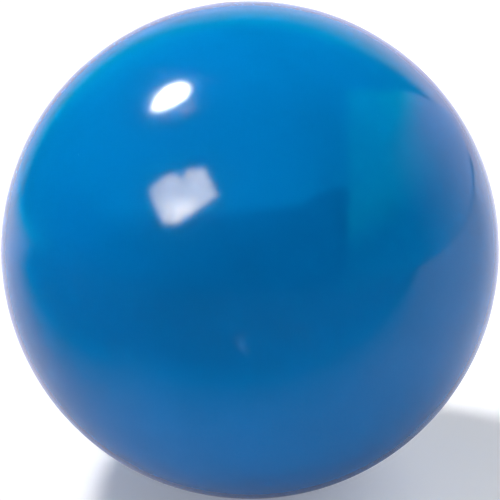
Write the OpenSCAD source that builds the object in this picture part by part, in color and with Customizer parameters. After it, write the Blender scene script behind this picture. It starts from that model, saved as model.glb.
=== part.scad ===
// Croquet ball: a moulded cork-composition core in two hard plastic cups, which are
// joined by a cemented tongue and groove, filled flush at the seam, undercoated and enamelled.
// The origin is the ball's centre, +Z is the cups' common axis, and the seam lies in the plane Z = 0.

/* [Ball] */
// Diameter of the finished ball
ball_d = 92.1; // [88:0.1:95]
// Diameter of the cork-composition core
core_d = 70; // [60:1:72]

/* [Layers] */
// Build of the blue gloss enamel
enamel_t = 0.3; // [0.2:0.05:0.5]
// Build of the undercoat below it
undercoat_t = 0.15; // [0.1:0.05:0.3]
// Film of cement between the core and the cups
core_cement_t = 0.2; // [0.1:0.05:0.4]

/* [Seam] */
// Length of the tongue that stands down from the upper cup's rim
tongue_h = 3; // [2:0.5:5]
// Thickness of that tongue, as a share of the cups' wall
tongue_share = 0.33; // [0.25:0.01:0.4]
// Film of cement all round the tongue and between the rims
seam_cement_t = 0.2; // [0.1:0.05:0.3]
// Depth of the 90 degree V that is turned along the seam for filler
filler_depth = 1.2; // [0.8:0.1:1.5]

/* [Hidden] */
$fn = 256;

ball_r = ball_d / 2;
undercoat_r = ball_r - enamel_t;
cover_r = undercoat_r - undercoat_t;
core_r = core_d / 2;
cavity_r = core_r + core_cement_t;

wall_t = cover_r - cavity_r;
wall_mid_r = (cover_r + cavity_r) / 2;
tongue_t = wall_t * tongue_share;
tongue_in_r = wall_mid_r - tongue_t / 2;
tongue_out_r = wall_mid_r + tongue_t / 2;
rim_z = seam_cement_t / 2;
groove_h = tongue_h + seam_cement_t;
// Reach of the cutting solids past the surfaces that they cut
past = 5;

module cork_core() {
    color("peru") sphere(r = core_r);
}

module core_cement() {
    color("goldenrod") layer(core_r, cavity_r);
}

module lower_cup() {
    color("royalblue") difference() {
        half_wall(-1);
        ring(tongue_in_r - seam_cement_t, tongue_out_r + seam_cement_t, -groove_h, 0);
    }
}

module upper_cup() {
    color("royalblue") union() {
        half_wall(1);
        ring(tongue_in_r, tongue_out_r, -tongue_h, rim_z + past);
    }
}

module seam_cement() {
    color("wheat") difference() {
        union() {
            intersection() {
                layer(cavity_r, cover_r);
                ring(0, ball_r, -rim_z, rim_z);
            }
            ring(tongue_in_r - seam_cement_t, tongue_out_r + seam_cement_t, -groove_h, rim_z);
        }
        ring(tongue_in_r, tongue_out_r, -tongue_h, rim_z + past);
        seam_vee();
    }
}

module seam_filler() {
    color("lightsteelblue") intersection() {
        seam_vee();
        sphere(r = cover_r);
    }
}

module undercoat() {
    color("whitesmoke") layer(cover_r, undercoat_r);
}

module enamel_coat() {
    color("dodgerblue") layer(undercoat_r, ball_r);
}

// A closed spherical layer between two radii
module layer(inner_r, outer_r) {
    difference() {
        sphere(r = outer_r);
        sphere(r = inner_r);
    }
}

// A flat-ended ring about the Z axis, or a disc where its inner radius is 0
module ring(inner_r, outer_r, low_z, high_z) {
    translate([0, 0, low_z]) difference() {
        cylinder(r = outer_r, h = high_z - low_z);
        if (inner_r > 0)
            translate([0, 0, -past]) cylinder(r = inner_r, h = high_z - low_z + 2 * past);
    }
}

// One half of the cover's wall, cut square at its rim and chamfered for the filler:
// side is 1 for the upper half and -1 for the lower one
module half_wall(side) {
    difference() {
        layer(cavity_r, cover_r);
        mirror([0, 0, side > 0 ? 0 : 1]) ring(0, ball_r + past, -ball_r - past, rim_z);
        seam_vee();
    }
}

// The V along the seam, with its point inwards, as a solid that runs out past the wall
module seam_vee() {
    mouth = filler_depth + past;
    rotate_extrude()
        translate([cover_r - filler_depth, 0])
            polygon([[0, 0], [mouth, -mouth], [mouth, mouth]]);
}

cork_core();
core_cement();
lower_cup();
upper_cup();
seam_cement();
seam_filler();
undercoat();
enamel_coat();
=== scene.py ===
"""A croquet ball, layer by layer: the cork core and its cement, two cups with their cemented
tongue and groove, the seam filler, the undercoat and the blue enamel, on a pale studio floor.

Every length is in metres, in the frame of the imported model: the origin is the ball's centre,
+Z is the cups' axis, and the seam lies in the plane Z = 0."""

import math

import bmesh
import bpy
from bpy.props import FloatProperty, FloatVectorProperty, PointerProperty
from mathutils import Matrix, Vector, noise


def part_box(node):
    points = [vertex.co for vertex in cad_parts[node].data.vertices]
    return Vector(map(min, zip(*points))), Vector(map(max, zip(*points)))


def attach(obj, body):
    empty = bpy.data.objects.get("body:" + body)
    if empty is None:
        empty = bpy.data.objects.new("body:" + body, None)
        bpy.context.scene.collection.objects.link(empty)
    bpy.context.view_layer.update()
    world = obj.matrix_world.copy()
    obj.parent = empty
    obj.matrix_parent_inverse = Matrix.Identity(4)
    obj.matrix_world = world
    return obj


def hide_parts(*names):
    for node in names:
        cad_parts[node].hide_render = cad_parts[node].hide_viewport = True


bl_info = {
    "name": "Croquet Ball",
    "version": (1, 0, 0),
    "blender": (4, 5, 0),
    "location": "View3D > Sidebar > Croquet Ball",
    "description": "Makes an enamelled croquet ball with its core, cups, cements and coats",
    "category": "Object",
}

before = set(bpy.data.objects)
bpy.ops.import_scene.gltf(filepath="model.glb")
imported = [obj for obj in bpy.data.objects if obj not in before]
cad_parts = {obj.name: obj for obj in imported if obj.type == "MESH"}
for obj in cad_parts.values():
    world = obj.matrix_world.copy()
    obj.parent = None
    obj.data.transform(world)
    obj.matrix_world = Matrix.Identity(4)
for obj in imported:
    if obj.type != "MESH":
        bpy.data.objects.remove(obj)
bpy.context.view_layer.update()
MM = 0.001


def top_of(node):
    """The height of a CAD node's highest point, which is its outer radius if it is round."""
    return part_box(node)[1].z


BALL_R = top_of("enamel_coat")
UNDERCOAT_R = top_of("undercoat")
COVER_R = top_of("upper_cup")
CAVITY_R = top_of("core_cement")
CORE_R = top_of("cork_core")
RIM_Z = top_of("seam_cement")
TONGUE_H = -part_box("upper_cup")[0].z
GROOVE_H = -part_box("seam_cement")[0].z
VEE_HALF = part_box("seam_filler")[1].z


# How high over its lowest point a node's foot is taken to reach
FOOT_DEPTH = 0.01 * MM


def foot_radii(node):
    """The inner and outer radius of the ring that a CAD node stands on."""
    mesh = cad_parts[node].data
    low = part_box(node)[0].z
    radii = [vert.co.xy.length for vert in mesh.vertices if vert.co.z < low + FOOT_DEPTH]
    return min(radii), max(radii)


TONGUE_IN, TONGUE_OUT = foot_radii("upper_cup")
GROOVE_IN, GROOVE_OUT = foot_radii("seam_cement")
# The filler's V has a right angle, so it is as deep as it is half wide, less the ball's curve
VEE_R = math.sqrt(COVER_R**2 - VEE_HALF**2) - VEE_HALF
VEE_ANGLE = math.asin(VEE_HALF / COVER_R)

# How finely the pieces are divided: steps round the spun ones, steps along their arcs, and the
# subdivisions of a layer's outer and inner skins
CUP_STEPS = 240
CAVITY_STEPS = 40
COVER_STEPS = 48
VEE_STEPS = 6
OUTER_DETAIL = 7
INNER_DETAIL = 6
# Edges that bend more than this stay sharp
SHARP_ANGLE = math.radians(35)
# Points closer than this are one point
WELD = 0.001 * MM
# The width of a crevice between cork granules, and how much of the pit depth a whole granule
# can lie sunk, both as shares
CREVICE_WIDTH = 0.3
SUNK_SHARE = 0.35
# Spreads the granules' centres out, so that neighbours lie sunk by different amounts
GRANULE_SPREAD = 7.3
# How deep the cement's brush marks and the undercoat's sanding run, and their width
BRUSHED_DEPTH = 0.02 * MM
BRUSHED_SIZE = 2.5 * MM
SANDED_DEPTH = 0.008 * MM
SANDED_SIZE = 4 * MM


# ---------------------------------------------------------------- settings


class EnamelSettings(bpy.types.PropertyGroup):
    """The blue gloss coat, which is all that shows of a finished ball."""

    colour: FloatVectorProperty(
        name="Colour",
        description="Colour of the pigment",
        subtype="COLOR",
        size=3,
        min=0,
        max=1,
        default=(0.0, 0.152, 0.44),
    )
    roughness: FloatProperty(
        name="Roughness",
        description="Roughness of the clean, unscuffed surface",
        subtype="FACTOR",
        min=0,
        max=1,
        default=0.1,
    )
    wave_depth: FloatProperty(
        name="Wave depth",
        description="Height of the slow waves left where the enamel flowed",
        unit="LENGTH",
        min=0,
        max=0.1 * MM,
        precision=6,
        default=0.012 * MM,
    )
    wave_size: FloatProperty(
        name="Wave size",
        description="Width of one of those waves",
        unit="LENGTH",
        min=2 * MM,
        max=40 * MM,
        default=14 * MM,
    )


class CoverSettings(bpy.types.PropertyGroup):
    """The two cups, the cement and filler of their seam, and the undercoat over them."""

    plastic_colour: FloatVectorProperty(
        name="Cups",
        description="Colour of the moulded plastic",
        subtype="COLOR",
        size=3,
        min=0,
        max=1,
        default=(0.015, 0.12, 0.34),
    )
    cement_colour: FloatVectorProperty(
        name="Seam cement",
        description="Colour of the cured cement in the tongue and groove",
        subtype="COLOR",
        size=3,
        min=0,
        max=1,
        default=(0.52, 0.4, 0.2),
    )
    filler_colour: FloatVectorProperty(
        name="Filler",
        description="Colour of the sanded filler along the seam",
        subtype="COLOR",
        size=3,
        min=0,
        max=1,
        default=(0.45, 0.5, 0.54),
    )
    undercoat_colour: FloatVectorProperty(
        name="Undercoat",
        description="Colour of the undercoat",
        subtype="COLOR",
        size=3,
        min=0,
        max=1,
        default=(0.72, 0.74, 0.75),
    )
    edge_break: FloatProperty(
        name="Edge break",
        description="Width of the small rounding on the cups' rims and tongue",
        unit="LENGTH",
        min=0.02 * MM,
        max=0.3 * MM,
        precision=5,
        default=0.12 * MM,
    )


class CoreSettings(bpy.types.PropertyGroup):
    """The cork-composition core and the cement on it."""

    cork_colour: FloatVectorProperty(
        name="Cork",
        description="Middle colour of the cork granules",
        subtype="COLOR",
        size=3,
        min=0,
        max=1,
        default=(0.34, 0.17, 0.07),
    )
    binder_colour: FloatVectorProperty(
        name="Binder",
        description="Colour of the rubber between the granules",
        subtype="COLOR",
        size=3,
        min=0,
        max=1,
        default=(0.035, 0.02, 0.012),
    )
    granule_size: FloatProperty(
        name="Granule size",
        description="Width of a typical cork granule",
        unit="LENGTH",
        min=1.5 * MM,
        max=6 * MM,
        default=3 * MM,
    )
    pit_depth: FloatProperty(
        name="Pit depth",
        description="Depth of the crevices between granules",
        unit="LENGTH",
        min=0,
        max=0.5 * MM,
        precision=5,
        default=0.22 * MM,
    )
    cement_colour: FloatVectorProperty(
        name="Core cement",
        description="Colour of the cement film on the core",
        subtype="COLOR",
        size=3,
        min=0,
        max=1,
        default=(0.42, 0.25, 0.06),
    )


class StageSettings(bpy.types.PropertyGroup):
    """The floor, the lights and the camera."""

    floor_colour: FloatVectorProperty(
        name="Floor",
        description="Colour of the floor",
        subtype="COLOR",
        size=3,
        min=0,
        max=1,
        default=(0.82, 0.82, 0.83),
    )
    camera_elevation: FloatProperty(
        name="Camera elevation",
        description="Angle of the camera above the horizon",
        subtype="ANGLE",
        min=0,
        max=math.radians(80),
        default=math.radians(18),
    )
    top_light: FloatProperty(
        name="Top light",
        description="Brightness of the round lamp high on the left",
        min=0,
        max=200,
        default=122,
    )
    front_light: FloatProperty(
        name="Front light",
        description="Brightness of the crumpled reflector at the front left",
        min=0,
        max=100,
        default=12,
    )
    side_card: FloatProperty(
        name="Side card",
        description="Brightness of the pale card on the right",
        min=0,
        max=5,
        default=0.85,
    )
    back_card: FloatProperty(
        name="Back card",
        description="Brightness of the pale card behind the ball",
        min=0,
        max=5,
        default=1.0,
    )
    floor_lift: FloatProperty(
        name="Floor lift",
        description="Light that the floor gives off itself, which keeps its shadows pale",
        min=0,
        max=1,
        default=0.28,
    )
    room_colour: FloatVectorProperty(
        name="Room",
        description="Colour of the dim room that the gloss mirrors where no card stands",
        subtype="COLOR",
        size=3,
        min=0,
        max=1,
        default=(0.0, 0.08, 0.16),
    )
    room_fill: FloatProperty(
        name="Room fill",
        description="Brightness of the even light that fills the shadows",
        min=0,
        max=2,
        default=0.06,
    )
    front_fill: FloatProperty(
        name="Front fill",
        description="Power of the broad lamp at the front left",
        subtype="POWER",
        min=0,
        max=50,
        default=2.6,
    )
    right_fill: FloatProperty(
        name="Right fill",
        description="Power of the broad lamp high on the right",
        subtype="POWER",
        min=0,
        max=50,
        default=6,
    )
    ceiling: FloatProperty(
        name="Ceiling",
        description="Brightness of the ceiling in the ball's gloss",
        min=0,
        max=5,
        default=1,
    )
    sheet_edge: FloatVectorProperty(
        name="Sheet's edge",
        description="Colour of the white sheet along its edges, as the gloss mirrors it",
        subtype="COLOR",
        size=3,
        min=0,
        max=3,
        default=(0.0, 0.75, 1.15),
    )
    sheet_colour: FloatVectorProperty(
        name="Sheet",
        description="Colour of the white sheet away from its edges, as the gloss mirrors it",
        subtype="COLOR",
        size=3,
        min=0,
        max=3,
        default=(0.8, 0.78, 0.95),
    )


# ---------------------------------------------------------------- materials


class Recipe:
    """A new material's node tree, with short calls for the nodes that the finishes share."""

    def __init__(self, name):
        self.material = bpy.data.materials.new(name)
        self.material.use_nodes = True
        self.tree = self.material.node_tree
        self.tree.nodes.clear()
        self.output = self.add("OutputMaterial")
        self.place = self.add("TexCoord").outputs["Object"]

    def add(self, kind, **settings):
        made = self.tree.nodes.new("ShaderNode" + kind)
        for name, value in settings.items():
            setattr(made, name, value)
        return made

    def feed(self, socket, value):
        """Links a socket to another's output, or gives it a plain value."""
        if isinstance(value, bpy.types.NodeSocket):
            self.tree.links.new(value, socket)
        elif socket.type == "RGBA" and len(value) == 3:
            socket.default_value = (*value, 1)
        else:
            socket.default_value = value

    def stretched(self, scale, turn=(0, 0, 0)):
        """The piece's own place, scaled and turned."""
        made = self.add("Mapping")
        self.feed(made.inputs["Vector"], self.place)
        made.inputs["Scale"].default_value = scale
        made.inputs["Rotation"].default_value = turn
        return made.outputs["Vector"]

    def noise(self, size, detail=3, distortion=0, place=None):
        """Cloudy noise from 0 to 1 whose lumps are about size across."""
        made = self.add("TexNoise")
        self.feed(made.inputs["Vector"], place or self.place)
        made.inputs["Scale"].default_value = 1 / size
        made.inputs["Detail"].default_value = detail
        made.inputs["Distortion"].default_value = distortion
        return made.outputs["Fac"]

    def cells(self, size, feature="F1", output="Distance", place=None):
        """Cells that are about size across."""
        made = self.add("TexVoronoi", feature=feature)
        self.feed(made.inputs["Vector"], place or self.place)
        made.inputs["Scale"].default_value = 1 / size
        return made.outputs[output]

    def remap(self, value, low, high, to_low=0.0, to_high=1.0, smooth=True):
        """Turns the range from low to high into the range from to_low to to_high."""
        made = self.add("MapRange", interpolation_type="SMOOTHSTEP" if smooth else "LINEAR")
        self.feed(made.inputs["Value"], value)
        made.inputs["From Min"].default_value = low
        made.inputs["From Max"].default_value = high
        made.inputs["To Min"].default_value = to_low
        made.inputs["To Max"].default_value = to_high
        return made.outputs["Result"]

    def maths(self, operation, first, second):
        made = self.add("Math", operation=operation)
        self.feed(made.inputs[0], first)
        self.feed(made.inputs[1], second)
        return made.outputs[0]

    def blend(self, amount, first, second, mode="MIX"):
        """Mixes two colours."""
        made = self.add("Mix", data_type="RGBA", blend_type=mode)
        self.feed(made.inputs["Factor"], amount)
        self.feed(made.inputs["A"], first)
        self.feed(made.inputs["B"], second)
        return made.outputs["Result"]

    def bump(self, height, depth, under=None):
        """A normal whose relief is depth deep where height runs from 0 to 1."""
        made = self.add("Bump")
        self.feed(made.inputs["Height"], height)
        made.inputs["Distance"].default_value = depth
        if under:
            self.feed(made.inputs["Normal"], under)
        return made.outputs["Normal"]

    def surface(self, **inputs):
        """Ends the tree in a Principled shader with these sockets, underscores for spaces."""
        made = self.add("BsdfPrincipled")
        for name, value in inputs.items():
            self.feed(made.inputs[name.replace("_", " ")], value)
        self.tree.links.new(made.outputs["BSDF"], self.output.inputs["Surface"])
        return self.material


def tint(colour, factor):
    """A colour made lighter or darker, and kept in range."""
    return tuple(min(1.0, part * factor) for part in colour)


def enamel_finish(settings):
    """Hard blue gloss: faint mottling, fine orange peel, dust nibs and a few hairline scuffs."""
    make = Recipe("blue_enamel")
    cloud = make.noise(18 * MM, detail=4)
    speckle = make.noise(0.7 * MM, detail=2)
    shade = make.blend(
        make.remap(cloud, 0.3, 0.7), tint(settings.colour, 0.96), tint(settings.colour, 1.04)
    )
    shade = make.blend(make.remap(speckle, 0.62, 0.8, 0, 0.12), shade, tint(settings.colour, 1.3))
    scuffs = scuff_lines(make)
    haze = make.remap(make.noise(11 * MM, detail=5, distortion=1.5), 0.5, 0.72)
    gloss = make.remap(haze, 0, 1, settings.roughness, settings.roughness + 0.04)
    gloss = make.maths("ADD", gloss, make.maths("MULTIPLY", scuffs, 0.16))
    peel = make.bump(make.noise(2.6 * MM, detail=2), 0.0035 * MM)
    nibs = make.remap(make.cells(6.5 * MM), 0.05, 0.02)
    dusty = make.bump(nibs, 0.012 * MM, peel)
    scuffed = make.bump(make.maths("MULTIPLY", scuffs, -1), 0.002 * MM, dusty)
    return make.surface(Base_Color=shade, Roughness=gloss, IOR=1.5, Normal=scuffed)


def scuff_lines(make):
    """Thin broken lines, from 0 to 1, along the edges of large bent cells."""
    bend = make.noise(25 * MM, detail=2)
    bent = make.add("VectorMath", operation="MULTIPLY_ADD")
    make.feed(bent.inputs[0], bend)
    bent.inputs[1].default_value = (0.02, 0.014, 0.009)
    make.feed(bent.inputs[2], make.place)
    lines = make.cells(31 * MM, "DISTANCE_TO_EDGE", place=bent.outputs["Vector"])
    thin = make.remap(lines, 0.006, 0.0)
    breaks = make.remap(make.noise(7 * MM, detail=1), 0.58, 0.7)
    return make.maths("MULTIPLY", thin, breaks)


def undercoat_finish(settings):
    """Matt pale undercoat with crossed sanding marks and rubbed-through patches."""
    make = Recipe("undercoat")
    patches = make.remap(make.noise(14 * MM, detail=5), 0.5, 0.75)
    shade = make.blend(
        patches, settings.undercoat_colour, tint(settings.undercoat_colour, 0.88)
    )
    one_way = make.noise(1 * MM, detail=2, place=make.stretched((1, 9, 1), (0.3, 0.2, 0.5)))
    other_way = make.noise(1 * MM, detail=2, place=make.stretched((9, 1, 1), (0.1, 0.7, 0.2)))
    marks = make.maths("MULTIPLY", one_way, other_way)
    rough = make.remap(marks, 0.1, 0.45, 0.62, 0.82)
    normal = make.bump(marks, 0.02 * MM)
    return make.surface(Base_Color=shade, Roughness=rough, Normal=normal)


def filler_finish(settings):
    """Sanded polyester filler: chalky, with pinholes darkened by painted shade and long sanding
    marks round the seam.
    """
    make = Recipe("seam_filler")
    cloud = make.noise(5 * MM, detail=4)
    shade = make.blend(cloud, tint(settings.filler_colour, 0.9), tint(settings.filler_colour, 1.08))
    pinholes_with_shade = make.remap(make.cells(1.7 * MM), 0.16, 0.08)
    # The pinholes are painted dark: painted shade inside them
    shade = make.blend(pinholes_with_shade, shade, tint(settings.filler_colour, 0.4))
    marks = make.noise(0.6 * MM, detail=2, place=make.stretched((0.2, 0.2, 4)))
    rough = make.remap(marks, 0.3, 0.7, 0.7, 0.88)
    normal = make.bump(pinholes_with_shade, -0.08 * MM, make.bump(marks, 0.01 * MM))
    return make.surface(Base_Color=shade, Roughness=rough, Normal=normal)


def plastic_finish(settings):
    """Moulded plastic with flow streaks from the pole and a fine satin mould texture."""
    make = Recipe("moulded_plastic")
    streaks = make.noise(9 * MM, detail=4, distortion=1.2, place=make.stretched((1, 1, 0.35)))
    shade = make.blend(
        make.remap(streaks, 0.3, 0.7),
        tint(settings.plastic_colour, 0.85),
        tint(settings.plastic_colour, 1.15),
    )
    grain = make.noise(0.35 * MM, detail=3)
    rough = make.remap(grain, 0.3, 0.7, 0.34, 0.46)
    normal = make.bump(grain, 0.006 * MM)
    return make.surface(Base_Color=shade, Roughness=rough, IOR=1.5, Normal=normal)


def seam_cement_finish(settings):
    """Cured two-part cement: amber, glassy where it ran free, with trapped bubbles."""
    make = Recipe("seam_cement")
    cloud = make.noise(4 * MM, detail=3)
    shade = make.blend(cloud, tint(settings.cement_colour, 0.8), tint(settings.cement_colour, 1.2))
    bubbles = make.remap(make.cells(1.3 * MM), 0.2, 0.1)
    shade = make.blend(bubbles, shade, tint(settings.cement_colour, 1.5))
    rough = make.remap(cloud, 0.3, 0.7, 0.22, 0.5)
    normal = make.bump(bubbles, 0.05 * MM)
    return make.surface(Base_Color=shade, Roughness=rough, Normal=normal)


def core_cement_finish(settings):
    """Rubbery contact cement with the ridges that a stiff brush leaves, and painted shade in the
    troughs between them.
    """
    make = Recipe("core_cement")
    brush_ridges_and_shade = make.noise(1.4 * MM, detail=3, place=make.stretched((0.25, 1, 2.2), (0.4, 0, 0.9)))
    # The colour follows the ridges: painted shade darkens the troughs and the ridge tops are
    # painted lighter
    shade = make.blend(
        brush_ridges_and_shade, tint(settings.cement_colour, 0.65), tint(settings.cement_colour, 1.3)
    )
    rough = make.remap(brush_ridges_and_shade, 0.3, 0.7, 0.38, 0.6)
    normal = make.bump(brush_ridges_and_shade, 0.06 * MM)
    return make.surface(Base_Color=shade, Roughness=rough, Normal=normal)


def cork_finish(settings):
    """Cork granules of many browns, pressed in a dark rubber binder."""
    make = Recipe("cork_composition")
    granules = make.cells(settings.granule_size, output="Color")
    tone = make.add("SeparateColor")
    make.feed(tone.inputs["Color"], granules)
    shade = make.blend(
        tone.outputs["Red"], tint(settings.cork_colour, 0.55), tint(settings.cork_colour, 1.5)
    )
    bark = make.remap(tone.outputs["Green"], 0.8, 0.9)
    shade = make.blend(bark, shade, tint(settings.cork_colour, 0.3))
    pores = make.remap(make.noise(0.5 * MM, detail=4), 0.5, 0.7)
    shade = make.blend(make.maths("MULTIPLY", pores, 0.5), shade, settings.binder_colour)
    gap = make.remap(make.cells(settings.granule_size, "DISTANCE_TO_EDGE"), 0.07, 0.02)
    shade = make.blend(gap, shade, settings.binder_colour)
    rough = make.remap(gap, 0, 1, 0.86, 0.62)
    normal = make.bump(pores, -0.1 * MM)
    return make.surface(Base_Color=shade, Roughness=rough, Normal=normal)


# ---------------------------------------------------------------- shapes


def finished(bm, name, node, material):
    """Turns a bmesh into a smooth piece that stands for a CAD node, hides that node and attaches
    the piece to the root body.
    """
    mesh = bpy.data.meshes.new(name)
    bm.to_mesh(mesh)
    bm.free()
    mesh.shade_smooth()
    mesh.set_sharp_from_angle(angle=SHARP_ANGLE)
    mesh.materials.append(material)
    piece = bpy.data.objects.new(name, mesh)
    bpy.context.scene.collection.objects.link(piece)
    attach(piece, "root")
    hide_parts(node)
    return piece


def add_ball_skin(bm, radius, detail, relief=None):
    """Adds a closed round skin. relief tells how far a point of it lies below the radius."""
    made = bmesh.ops.create_icosphere(bm, subdivisions=detail, radius=radius)
    if relief:
        for vertex in made["verts"]:
            vertex.co -= vertex.co.normalized() * relief(vertex.co)
    return made["verts"]


def faces_of(verts):
    return list({face for vertex in verts for face in vertex.link_faces})


def make_layer(outer_r, inner_r, relief):
    """A closed hollow layer with relief on its outer skin. Its inner skin faces the centre."""
    bm = bmesh.new()
    add_ball_skin(bm, outer_r, OUTER_DETAIL, relief)
    inner = add_ball_skin(bm, inner_r, INNER_DETAIL)
    bmesh.ops.reverse_faces(bm, faces=faces_of(inner))
    return bm


def arc(radius, start, end, steps):
    """Points in the X-Z plane on a circle about the centre, by angle above the seam plane."""
    angles = [start + (end - start) * step / steps for step in range(steps + 1)]
    return [(radius * math.cos(angle), radius * math.sin(angle)) for angle in angles]


def spun(profile, steps):
    """A solid of revolution about Z from a closed outline of (radius, height) points."""
    bm = bmesh.new()
    verts = [bm.verts.new((radius, 0, height)) for radius, height in profile]
    edges = [bm.edges.new(pair) for pair in zip(verts, verts[1:] + verts[:1])]
    bmesh.ops.spin(
        bm,
        geom=verts + edges,
        cent=(0, 0, 0),
        axis=(0, 0, 1),
        angle=math.tau,
        steps=steps,
        use_merge=True,
    )
    bmesh.ops.remove_doubles(bm, verts=bm.verts, dist=WELD)
    bmesh.ops.recalc_face_normals(bm, faces=bm.faces)
    return bm


def tongue_outline(inner_r, outer_r, rim_z, foot_z):
    """The step of the tongue or the groove in a rim, from the inside outwards."""
    return [(inner_r, rim_z), (inner_r, foot_z), (outer_r, foot_z), (outer_r, rim_z)]


def cup_outline(side, step):
    """A cup's section: side is 1 for the upper cup and -1 for the lower one."""
    rim = side * RIM_Z
    pole = side * math.pi / 2
    inner = arc(CAVITY_R, pole, side * math.asin(RIM_Z / CAVITY_R), CAVITY_STEPS)
    outer = arc(COVER_R, side * VEE_ANGLE, pole, COVER_STEPS)
    return [*inner, *step, (VEE_R + RIM_Z, rim), *outer]


def break_edges(bm, width):
    """Rounds every sharp edge a little."""
    sharp = [edge for edge in bm.edges if edge.calc_face_angle(0) > SHARP_ANGLE]
    bmesh.ops.bevel(
        bm,
        geom=sharp,
        offset=width,
        affect="EDGES",
        segments=2,
        profile=0.5,
        material=-1,
        clamp_overlap=True,
    )
    return bm


# ---------------------------------------------------------------- operators


class BALL_OT_core(bpy.types.Operator):
    """Presses the cork granules into the solid core"""

    bl_idname = "croquet_ball.core"
    bl_label = "Cork core"

    def execute(self, context):
        settings = context.scene.croquet_core
        size = settings.granule_size

        def pits(point):
            near, cells = noise.voronoi(point / size)
            crevice = max(0.0, 1 - (near[1] - near[0]) / CREVICE_WIDTH)
            sunk = SUNK_SHARE * abs(noise.cell(cells[0] * GRANULE_SPREAD))
            return settings.pit_depth * min(1.0, crevice * crevice + sunk)

        bm = bmesh.new()
        add_ball_skin(bm, CORE_R, OUTER_DETAIL, pits)
        finished(bm, "cork_core_pressed", "cork_core", cork_finish(settings))
        return {"FINISHED"}


class BALL_OT_core_cement(bpy.types.Operator):
    """Brushes the cement film over the core"""

    bl_idname = "croquet_ball.core_cement"
    bl_label = "Core cement"

    def execute(self, context):
        settings = context.scene.croquet_core

        def brushed(point):
            stretched = Vector((point.x * 0.25, point.y, point.z * 2.2))
            return BRUSHED_DEPTH * (1 + noise.noise(stretched / BRUSHED_SIZE))

        bm = make_layer(CAVITY_R, CORE_R, brushed)
        material = core_cement_finish(settings)
        finished(bm, "core_cement_film", "core_cement", material)
        return {"FINISHED"}


class BALL_OT_cups(bpy.types.Operator):
    """Moulds the two cups, one with the tongue and one with the groove"""

    bl_idname = "croquet_ball.cups"
    bl_label = "Cups"

    def execute(self, context):
        settings = context.scene.croquet_cover
        material = plastic_finish(settings)
        tongue = tongue_outline(TONGUE_IN, TONGUE_OUT, RIM_Z, -TONGUE_H)
        groove = tongue_outline(GROOVE_IN, GROOVE_OUT, -RIM_Z, -GROOVE_H)
        for name, node, side, step in (
            ("upper_cup_moulded", "upper_cup", 1, tongue),
            ("lower_cup_moulded", "lower_cup", -1, groove),
        ):
            bm = break_edges(spun(cup_outline(side, step), CUP_STEPS), settings.edge_break)
            finished(bm, name, node, material)
        return {"FINISHED"}


class BALL_OT_seam_cement(bpy.types.Operator):
    """Runs the cement into the tongue and groove"""

    bl_idname = "croquet_ball.seam_cement"
    bl_label = "Seam cement"

    def execute(self, context):
        inner = math.sqrt(CAVITY_R**2 - RIM_Z**2)
        outline = [
            (inner, RIM_Z),
            *tongue_outline(TONGUE_IN, TONGUE_OUT, RIM_Z, -TONGUE_H),
            (VEE_R + RIM_Z, RIM_Z),
            (VEE_R, 0),
            (VEE_R + RIM_Z, -RIM_Z),
            *reversed(tongue_outline(GROOVE_IN, GROOVE_OUT, -RIM_Z, -GROOVE_H)),
            (inner, -RIM_Z),
        ]
        material = seam_cement_finish(context.scene.croquet_cover)
        bm = spun(outline, CUP_STEPS)
        finished(bm, "seam_cement_ring", "seam_cement", material)
        return {"FINISHED"}


class BALL_OT_seam_filler(bpy.types.Operator):
    """Fills the V along the seam and sands it flush"""

    bl_idname = "croquet_ball.seam_filler"
    bl_label = "Seam filler"

    def execute(self, context):
        outline = [(VEE_R, 0), *arc(COVER_R, -VEE_ANGLE, VEE_ANGLE, VEE_STEPS)]
        material = filler_finish(context.scene.croquet_cover)
        bm = spun(outline, CUP_STEPS)
        finished(bm, "seam_filler_ring", "seam_filler", material)
        return {"FINISHED"}


class BALL_OT_undercoat(bpy.types.Operator):
    """Sprays and sands the undercoat"""

    bl_idname = "croquet_ball.undercoat"
    bl_label = "Undercoat"

    def execute(self, context):
        def sanded(point):
            return SANDED_DEPTH * (1 + noise.noise(point / SANDED_SIZE))

        bm = make_layer(UNDERCOAT_R, COVER_R, sanded)
        material = undercoat_finish(context.scene.croquet_cover)
        finished(bm, "undercoat_sanded", "undercoat", material)
        return {"FINISHED"}


class BALL_OT_enamel(bpy.types.Operator):
    """Sprays the blue gloss enamel"""

    bl_idname = "croquet_ball.enamel"
    bl_label = "Enamel"

    def execute(self, context):
        settings = context.scene.croquet_enamel

        def flow(point):
            return settings.wave_depth * (1 + noise.noise(point / settings.wave_size))

        bm = make_layer(BALL_R, UNDERCOAT_R, flow)
        finished(bm, "enamel_coat_gloss", "enamel_coat", enamel_finish(settings))
        return {"FINISHED"}


# ---------------------------------------------------------------- stage


# Where the floor ends and fades, and where the big cards stand, from the ball's centre
FLOOR_R = 2.4
FLOOR_FADE_START = 0.7
FLOOR_FADE_END = 2.2
SIDE_X = 0.3
BACK_Y = 0.6
CEILING_Z = 1.2
# How high the sheet lies over the floor
SHEET_LIFT = 0.2 * MM
# How far off the lamp, the reflector and the fills hang, and the azimuth and elevation of each
LAMP_REACH = 1
LAMP_AT = (-68, 61)
REFLECTOR_AT = (-144, 35)
RIGHT_FILL_AT = (78, 42)
FILL_SIZE = 1.2
CAMERA_REACH = 10 * BALL_R
# How much of the view's width the ball takes
BALL_SHARE = 249 / 250
# How brightly the floor glows far from the ball, where the lamps hardly reach
FAR_GLOW = 1.05
# How brightly the lamp's ragged tail glows
TAIL_LEVEL = 5

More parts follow.
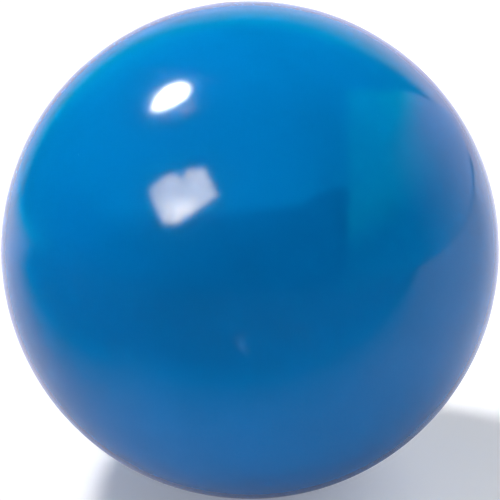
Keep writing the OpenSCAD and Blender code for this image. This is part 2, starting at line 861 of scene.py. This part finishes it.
# Outlines of the cards. The sheet's is in ball radii, the side card's in shares of SIDE_X and
# the ceiling's in shares of CEILING_Z. The others are in metres.
SHEET_OUTLINE = (
    (-1.6, -2.0),
    (0.2, -2.4),
    (3.0, -2.8),
    (40.0, -8.0),
    (40.0, 40.0),
    (-40.0, 40.0),
    (-40.0, 3.8),
    (-9.0, 2.9),
    (-5.0, 1.4),
)
LAMP_OUTLINE = (
    (0.0, -0.12),
    (0.09, -0.06),
    (0.12, 0.04),
    (0.07, 0.12),
    (-0.01, 0.15),
    (-0.09, 0.14),
    (-0.15, 0.07),
    (-0.17, -0.01),
    (-0.16, -0.09),
    (-0.1, -0.13),
)
TAIL_OUTLINE = (
    (-0.08, 0.18),
    (-0.15, 0.2),
    (-0.2, 0.24),
    (-0.23, 0.17),
    (-0.27, 0.15),
    (-0.19, 0.08),
    (-0.08, 0.02),
)
REFLECTOR_OUTLINE = (
    (0.27, -0.03),
    (0.1, -0.2),
    (-0.02, -0.17),
    (-0.1, -0.08),
    (-0.18, 0.01),
    (-0.26, 0.13),
    (-0.06, 0.31),
    (0.08, 0.25),
    (0.08, 0.18),
    (0.12, 0.21),
    (0.21, 0.18),
    (0.32, 0.05),
)
CEILING_OUTLINE = (
    (-3.0, -1.2),
    (-0.4, -1.5),
    (0.65, -1.3),
    (0.8, -0.95),
    (0.95, -0.8),
    (3.0, -0.65),
    (3.0, 3.0),
    (-3.0, 3.0),
)
BACK_OUTLINE = (
    (-2.4, -0.3),
    (0.5, -0.14),
    (0.5, 0.12),
    (0.3, 0.6),
    (-0.3, 0.6),
    (-2.4, 0.55),
)
SIDE_OUTLINE = (
    (-1.2, -0.1),
    (1.9, 0.1),
    (1.35, 0.42),
    (0.75, 1.0),
    (0.5, 1.6),
    (-0.1, 1.4),
    (-0.5, 1.15),
    (-0.95, 0.65),
)
# Widths of the borders where the cards turn clear
SHEET_BORDER = 2.5 * BALL_R
LAMP_BORDER = 0.07
TAIL_BORDER = 0.02
REFLECTOR_BORDER = 0.035
BACK_BORDER = 0.08
SIDE_BORDER = 0.03 * SIDE_X
CEILING_BORDER = 0.03 * CEILING_Z


def toward(azimuth, elevation):
    """The direction from the ball: azimuth 0 is straight behind it and 90 is to its right."""
    turn, lift = math.radians(azimuth), math.radians(elevation)
    flat = math.cos(lift)
    return Vector((math.sin(turn) * flat, math.cos(turn) * flat, math.sin(lift)))


def facing_ball(azimuth, elevation):
    """A lamp's place, whose X-Y plane faces the ball, with X to the right as the ball sees it."""
    away = toward(azimuth, elevation)
    turn = (-away).to_track_quat("Z", "Y").to_matrix().to_4x4()
    return Matrix.Translation(away * LAMP_REACH) @ turn


def scaled(outline, size):
    return [(x * size, y * size) for x, y in outline]


def soft_card(outline, border):
    """A flat card in the X-Y plane. Its glow attribute is 1 inside and falls to 0 at its edge."""
    bm = bmesh.new()
    bright = bm.verts.layers.float.new("glow")
    face = bm.faces.new([bm.verts.new((x, y, 0)) for x, y in outline])
    face.normal_update()
    bmesh.ops.inset_region(
        bm, faces=[face], thickness=border, use_boundary=True, use_even_offset=True
    )
    for vertex in face.verts:
        vertex[bright] = 1.0
    return bm


def stage_object(bm, name, material, place):
    """Adds a stage mesh to the scene at a place."""
    mesh = bpy.data.meshes.new(name)
    bm.to_mesh(mesh)
    bm.free()
    mesh.materials.append(material)
    made = bpy.data.objects.new(name, mesh)
    made.matrix_world = place
    bpy.context.scene.collection.objects.link(made)
    return made


def unseen(card):
    """Leaves the card lighting the ball and showing in its gloss, but not to the camera."""
    card.visible_camera = False
    card.visible_shadow = False


def mirrored_only(card):
    """Leaves the card showing in the ball's gloss and doing nothing else."""
    card.visible_diffuse = False
    unseen(card)


def inside(make):
    """How far in from a card's clear border a point of it lies, from 0 to 1."""
    return make.add("Attribute", attribute_name="glow").outputs["Fac"]


def along(make, axis):
    """The place along one axis of the piece."""
    split = make.add("SeparateXYZ")
    make.feed(split.inputs["Vector"], make.place)
    return split.outputs[axis]


def distance_from(make, x, y):
    """How far a point of a flat piece is from the place (x, y) on it."""
    offset = make.add("VectorMath", operation="SUBTRACT")
    make.feed(offset.inputs[0], make.place)
    offset.inputs[1].default_value = (x, y, 0)
    far = make.add("VectorMath", operation="LENGTH")
    make.feed(far.inputs[0], offset.outputs["Vector"])
    return far.outputs["Value"]


def show_through(make, amount, surface):
    """Ends the tree in a surface that turns clear as amount falls from 1 to 0."""
    clear = make.add("BsdfTransparent")
    mixed = make.add("MixShader")
    make.feed(mixed.inputs["Fac"], amount)
    make.tree.links.new(clear.outputs["BSDF"], mixed.inputs[1])
    make.tree.links.new(surface, mixed.inputs[2])
    make.tree.links.new(mixed.outputs["Shader"], make.output.inputs["Surface"])
    return make.material


def glow(name, colour, level, shade=None):
    """An emitting finish that turns clear at a card's border. colour can be a function that
    shades the card, and shade is one that makes its level uneven."""
    make = Recipe(name)
    border = inside(make)
    lamp = make.add("Emission")
    make.feed(lamp.inputs["Color"], colour(make) if callable(colour) else colour)
    strength = make.maths("MULTIPLY", shade(make), level) if shade else level
    make.feed(lamp.inputs["Strength"], strength)
    return show_through(make, border, lamp.outputs["Emission"])


def ragged(make):
    """Leaves torn scraps of an even glow."""
    return make.remap(make.noise(0.04, detail=3, distortion=1), 0.42, 0.6)


def crumple(make):
    """Uneven brightness of the crumpled reflector: brightest low down, and dimmer at the side
    that the gloss shows on the left."""
    folds = make.remap(make.noise(0.05, detail=5, distortion=2), 0.35, 0.65, 0.55, 1.4)
    bright = make.remap(distance_from(make, -0.03, -0.06), 0, 0.17, 1.9, 1.0)
    left = make.remap(along(make, "X"), 0.36, 0.12, 0.45, 1.0)
    return make.maths("MULTIPLY", make.maths("MULTIPLY", folds, bright), left)


def shade_back(make):
    """The back card's colour: white at its foot, blue at its top and dark far to the left."""
    near = make.remap(along(make, "X"), -0.7, -0.4)
    blue = make.blend(near, (0.0, 0.3, 0.45), (0.0, 0.85, 1.0))
    lowered = make.remap(along(make, "X"), -1.0, -0.1, 0.72, 0, smooth=False)
    height = make.maths("ADD", along(make, "Y"), lowered)
    return make.blend(make.remap(height, 0.42, 0.1, smooth=False), blue, (0.95, 0.85, 1.05))


def shade_ceiling(make):
    """The ceiling's colour: a brighter blue at its near edge, over the camera."""
    near = make.remap(along(make, "Y"), -0.2 * CEILING_Z, -1.1 * CEILING_Z)
    return make.blend(near, (0.0, 0.5, 0.8), (0.0, 1.1, 2.2))


def shade_side(make):
    """The side card's colour: white low down at its far end, and blue elsewhere."""
    low = make.remap(along(make, "Y"), 0.6 * SIDE_X, 0.25 * SIDE_X)
    blue = make.blend(low, (0.0, 1.7, 1.9), (0.0, 0.5, 0.8))
    far = make.remap(along(make, "X"), -0.3 * SIDE_X, 0.7 * SIDE_X)
    below = make.remap(along(make, "Y"), 0.85 * SIDE_X, 0.5 * SIDE_X)
    return make.blend(make.maths("MULTIPLY", far, below), blue, (0.85, 0.95, 1.45))


def sheet_finish(settings):
    """The white sheet in the gloss, a glowing card with its light and shade painted in: blue at its
    edges and far to the left, dimmer towards its edges, a painted shadow under the ball, and
    painted shade that makes it a little dimmer to the near right."""
    make = Recipe("white_sheet")
    inward = inside(make)
    # Painted shade: the glow is dimmer towards the sheet's edges
    light = make.remap(inward, 0, 1, 0.4, 1, smooth=False)
    under = distance_from(make, 0.25 * BALL_R, 0)
    # A painted shadow of the ball, dark under it
    shadow = make.remap(under, 0.2 * BALL_R, 1.9 * BALL_R, 0.2, 1)
    right = make.maths("SUBTRACT", along(make, "X"), along(make, "Y"))
    # Painted shade: the glow is a little dimmer to the near right
    painted_dimming = make.remap(right, -2 * BALL_R, 2 * BALL_R, 1.25, 0.85, smooth=False)
    light = make.maths("MULTIPLY", make.maths("MULTIPLY", light, shadow), painted_dimming)
    white = make.remap(inward, 0.2, 0.54, smooth=False)
    near = make.remap(along(make, "X"), -11 * BALL_R, -5 * BALL_R, smooth=False)
    white = make.maths("MULTIPLY", white, near)
    lamp = make.add("Emission")
    make.feed(lamp.inputs["Color"], make.blend(white, settings.sheet_edge, settings.sheet_colour))
    make.feed(lamp.inputs["Strength"], light)
    return show_through(make, make.remap(inward, 0, 0.15), lamp.outputs["Emission"])


def floor_finish(settings):
    """Pale matt paper that fades into the background far from the ball. It gives off a little
    light itself, so that its shadows stay pale, and more where the lamps hardly reach it."""
    make = Recipe("pale_floor")
    out = distance_from(make, 0, 0)
    fibre = make.noise(3 * MM, detail=4)
    matt = make.add("BsdfDiffuse")
    shade = make.blend(fibre, settings.floor_colour, (0.98, 0.98, 0.98), "MULTIPLY")
    make.feed(matt.inputs["Color"], shade)
    glowing = make.add("Emission")
    make.feed(glowing.inputs["Color"], settings.floor_colour)
    lift = make.remap(out, 5 * BALL_R, 16 * BALL_R, settings.floor_lift, FAR_GLOW)
    make.feed(glowing.inputs["Strength"], lift)
    both = make.add("AddShader")
    make.tree.links.new(matt.outputs["BSDF"], both.inputs[0])
    make.tree.links.new(glowing.outputs["Emission"], both.inputs[1])
    seen = make.remap(out, FLOOR_FADE_START, FLOOR_FADE_END, 1, 0)
    return show_through(make, seen, both.outputs["Shader"])


def lay_floor(settings):
    """The floor, and a white sheet just above it that shows only in the ball's gloss."""
    bm = bmesh.new()
    place = Matrix.Translation((0, 0, -BALL_R))
    bmesh.ops.create_circle(bm, cap_ends=True, segments=96, radius=FLOOR_R)
    floor = stage_object(bm, "floor", floor_finish(settings), place)
    floor.visible_glossy = False

    bm = soft_card(scaled(SHEET_OUTLINE, BALL_R), SHEET_BORDER)
    place = Matrix.Translation((0, 0, SHEET_LIFT - BALL_R))
    mirrored_only(stage_object(bm, "white_sheet", sheet_finish(settings), place))


def hang_lights(settings):
    """The lamp and its tail, the crumpled reflector, the room's cards and the two fills."""
    lamp = glow("top_lamp", (1, 1, 1), settings.top_light, inside)
    bm = soft_card(LAMP_OUTLINE, LAMP_BORDER)
    unseen(stage_object(bm, "top_lamp", lamp, facing_ball(*LAMP_AT)))

    tail = glow("lamp_tail", (0.9, 0.9, 1), TAIL_LEVEL, ragged)
    bm = soft_card(TAIL_OUTLINE, TAIL_BORDER)
    mirrored_only(stage_object(bm, "lamp_tail", tail, facing_ball(*LAMP_AT)))

    crumpled = glow("front_reflector", (1, 0.88, 0.76), settings.front_light, crumple)
    bm = soft_card(REFLECTOR_OUTLINE, REFLECTOR_BORDER)
    mirrored_only(stage_object(bm, "front_reflector", crumpled, facing_ball(*REFLECTOR_AT)))

    side = glow("side_card", shade_side, settings.side_card)
    bm = soft_card(scaled(SIDE_OUTLINE, SIDE_X), SIDE_BORDER)
    upright = Matrix(((0, 0, -1, 0), (1, 0, 0, 0), (0, 1, 0, 0), (0, 0, 0, 1)))
    place = Matrix.Translation((SIDE_X, 0, 0)) @ upright
    mirrored_only(stage_object(bm, "side_card", side, place))

    back = glow("back_card", shade_back, settings.back_card)
    bm = soft_card(BACK_OUTLINE, BACK_BORDER)
    place = Matrix.Translation((0, BACK_Y, 0)) @ Matrix.Rotation(math.radians(90), 4, "X")
    mirrored_only(stage_object(bm, "back_card", back, place))

    ceiling = glow("ceiling", shade_ceiling, settings.ceiling)
    bm = soft_card(scaled(CEILING_OUTLINE, CEILING_Z), CEILING_BORDER)
    place = Matrix.Translation((0, 0, CEILING_Z))
    mirrored_only(stage_object(bm, "ceiling", ceiling, place))

    hang_fill("front_fill", settings.front_fill, REFLECTOR_AT)
    hang_fill("right_fill", settings.right_fill, RIGHT_FILL_AT)


def hang_fill(name, power, at):
    """A broad soft lamp for the matt colour, kept out of the gloss and out of the view."""
    lamp = bpy.data.lights.new(name, "AREA")
    lamp.shape = "DISK"
    lamp.size = FILL_SIZE
    lamp.energy = power
    lamp.cycles.use_multiple_importance_sampling = False
    fill = bpy.data.objects.new(name, lamp)
    fill.matrix_world = facing_ball(*at) @ Matrix.Rotation(math.pi, 4, "Y")
    fill.visible_glossy = False
    fill.visible_camera = False
    bpy.context.scene.collection.objects.link(fill)


def background(tree, colour, strength):
    made = tree.nodes.new("ShaderNodeBackground")
    made.inputs["Color"].default_value = (*colour, 1)
    made.inputs["Strength"].default_value = strength
    return made.outputs["Background"]


def either(tree, choice, first, second):
    """The first shader where choice is 0, and the second where it is 1."""
    made = tree.nodes.new("ShaderNodeMixShader")
    tree.links.new(choice, made.inputs["Fac"])
    tree.links.new(first, made.inputs[1])
    tree.links.new(second, made.inputs[2])
    return made.outputs["Shader"]


def set_background(scene, settings):
    """White to the camera, an even fill to matt surfaces, and a dark room to the gloss."""
    scene.world = bpy.data.worlds.new("studio")
    scene.world.use_nodes = True
    tree = scene.world.node_tree
    tree.nodes.clear()
    path = tree.nodes.new("ShaderNodeLightPath")
    output = tree.nodes.new("ShaderNodeOutputWorld")
    room = background(tree, settings.room_colour, 1)
    fill = background(tree, (1, 1, 1), settings.room_fill)
    white = background(tree, (1, 1, 1), 1)
    lit = either(tree, path.outputs["Is Diffuse Ray"], room, fill)
    seen = either(tree, path.outputs["Is Camera Ray"], lit, white)
    tree.links.new(seen, output.inputs["Surface"])


def place_camera(scene, settings):
    """A long lens in front of the ball, looking slightly down, with the ball filling its view."""
    data = bpy.data.cameras.new("camera")
    data.sensor_width = 36
    half_view = math.tan(math.asin(BALL_R / CAMERA_REACH))
    data.lens = BALL_SHARE * data.sensor_width / 2 / half_view
    camera = bpy.data.objects.new("camera", data)
    back = toward(180, math.degrees(settings.camera_elevation))
    camera.location = back * CAMERA_REACH
    camera.rotation_euler = back.to_track_quat("Z", "Y").to_euler()
    scene.collection.objects.link(camera)
    scene.camera = camera


class BALL_OT_stage(bpy.types.Operator):
    """Sets up the floor, the lights, the cards and the camera"""

    bl_idname = "croquet_ball.stage"
    bl_label = "Stage"

    def execute(self, context):
        settings = context.scene.croquet_stage
        lay_floor(settings)
        hang_lights(settings)
        set_background(context.scene, settings)
        place_camera(context.scene, settings)
        context.scene.view_settings.view_transform = "Standard"
        return {"FINISHED"}


# ---------------------------------------------------------------- panel and registration


class BALL_PT_panel(bpy.types.Panel):
    """Lists the settings and the makers of the ball's pieces"""

    bl_idname = "BALL_PT_panel"
    bl_label = "Croquet Ball"
    bl_space_type = "VIEW_3D"
    bl_region_type = "UI"
    bl_category = "Croquet Ball"

    def draw(self, context):
        for heading, settings, makers in SECTIONS:
            box = self.layout.box()
            box.label(text=heading)
            values = getattr(context.scene, settings)
            for name in values.bl_rna.properties.keys():
                if name not in ("rna_type", "name"):
                    box.prop(values, name)
            for maker in makers:
                box.operator(maker.bl_idname)


SECTIONS = (
    ("Core", "croquet_core", (BALL_OT_core, BALL_OT_core_cement)),
    (
        "Cover",
        "croquet_cover",
        (BALL_OT_cups, BALL_OT_seam_cement, BALL_OT_seam_filler, BALL_OT_undercoat),
    ),
    ("Enamel", "croquet_enamel", (BALL_OT_enamel,)),
    ("Stage", "croquet_stage", (BALL_OT_stage,)),
)
SETTINGS = {
    "croquet_core": CoreSettings,
    "croquet_cover": CoverSettings,
    "croquet_enamel": EnamelSettings,
    "croquet_stage": StageSettings,
}
MAKERS = [maker for _, _, makers in SECTIONS for maker in makers]


def register():
    for kind in (*SETTINGS.values(), *MAKERS, BALL_PT_panel):
        bpy.utils.register_class(kind)
    for name, kind in SETTINGS.items():
        setattr(bpy.types.Scene, name, PointerProperty(type=kind))


def unregister():
    for name in SETTINGS:
        delattr(bpy.types.Scene, name)
    for kind in reversed((*SETTINGS.values(), *MAKERS, BALL_PT_panel)):
        bpy.utils.unregister_class(kind)


def main():
    register()
    for maker in MAKERS:
        group, action = maker.bl_idname.split(".")
        getattr(getattr(bpy.ops, group), action)()


if __name__ == "__main__":
    main()
